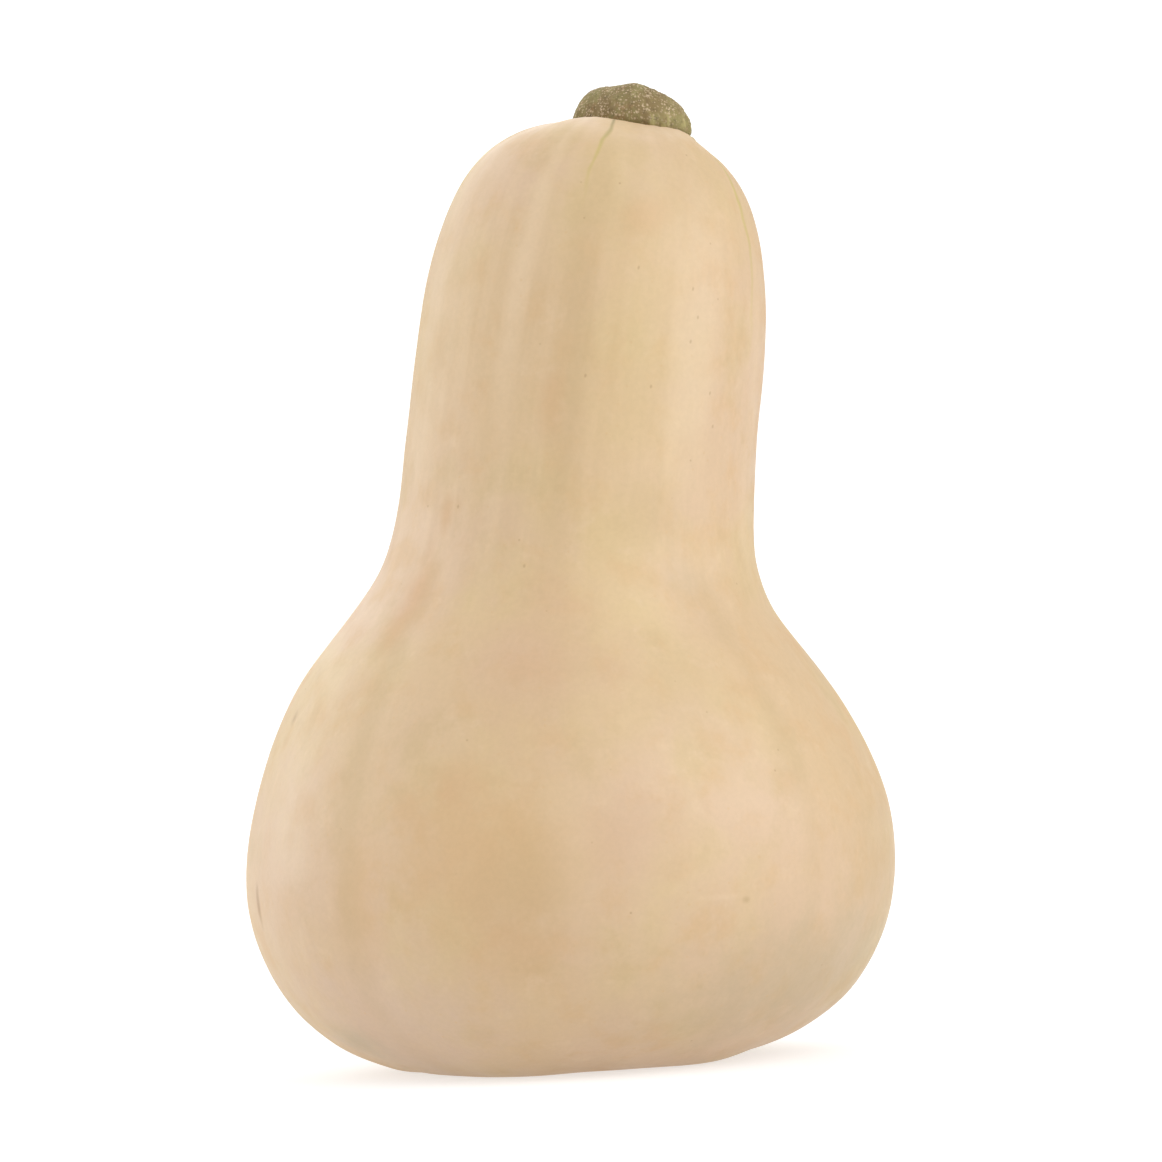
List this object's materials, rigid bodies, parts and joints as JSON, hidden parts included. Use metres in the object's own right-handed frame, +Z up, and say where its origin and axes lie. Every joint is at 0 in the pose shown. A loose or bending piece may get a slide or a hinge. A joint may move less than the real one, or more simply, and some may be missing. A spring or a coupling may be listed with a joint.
{
  "type": "butternut squash",
  "caption": "Whole butternut squash standing on its round base, with a leaning neck and a short corky stem stub at the top.",
  "frame": {"origin": "on the surface that the squash stands on, below the middle of its bounding box", "axes": "+Z up from the blossom end towards the stem; the front is -Y, and seen from it +X is to the right, the way the neck leans"},
  "size_m": [0.1392, 0.1332, 0.2078],
  "materials": {
    "skin": "matte tan rind with a faint waxy sheen",
    "bark": "dry, rough, corky"
  },
  "bodies": {
    "root": {"fruit": "skin", "stem": "bark"}
  },
  "joints": []
}
